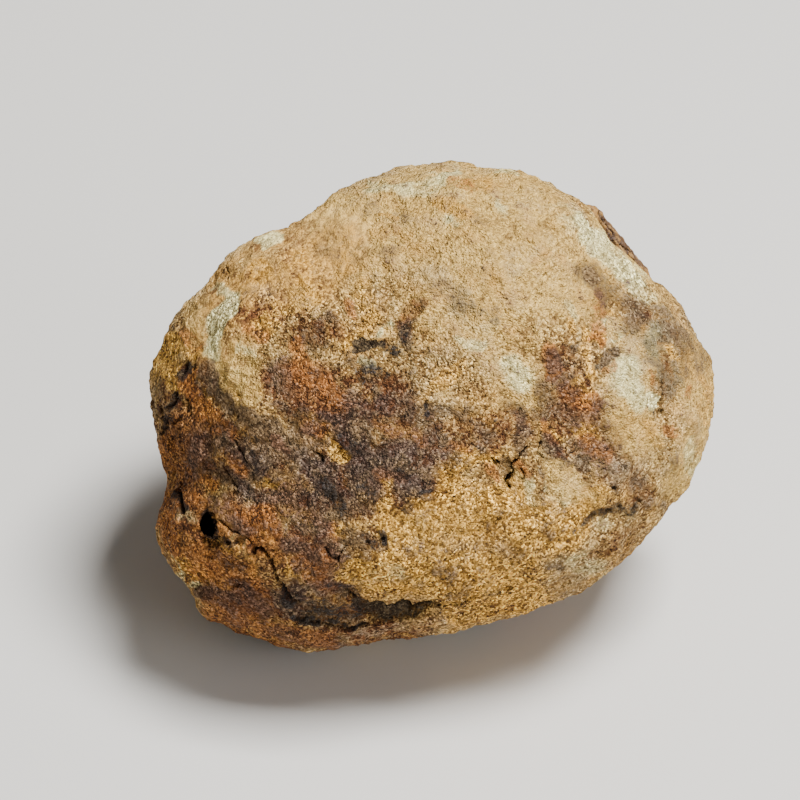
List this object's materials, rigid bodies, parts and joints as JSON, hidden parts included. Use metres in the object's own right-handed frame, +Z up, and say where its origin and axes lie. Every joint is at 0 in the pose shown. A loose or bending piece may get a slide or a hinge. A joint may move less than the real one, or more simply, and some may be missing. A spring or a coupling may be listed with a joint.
{
  "type": "trilobite nodule",
  "caption": "Rounded, iron-stained stone nodule with a trilobite set in a split face behind; rests on a small flat spot.",
  "frame": {"origin": "under the middle of the bounding box, on the surface that the stone rests on", "axes": "+X to the right along the stone's longest extent, -Y towards the viewer of the broad face, +Z up"},
  "size_m": [0.06, 0.0488, 0.0494],
  "materials": {
    "nodule": "matte, granular, iron-stained",
    "trilobite": "matte to dull satin, dark brown"
  },
  "bodies": {
    "root": {"nodule": "nodule", "trilobite": "trilobite"}
  },
  "joints": []
}
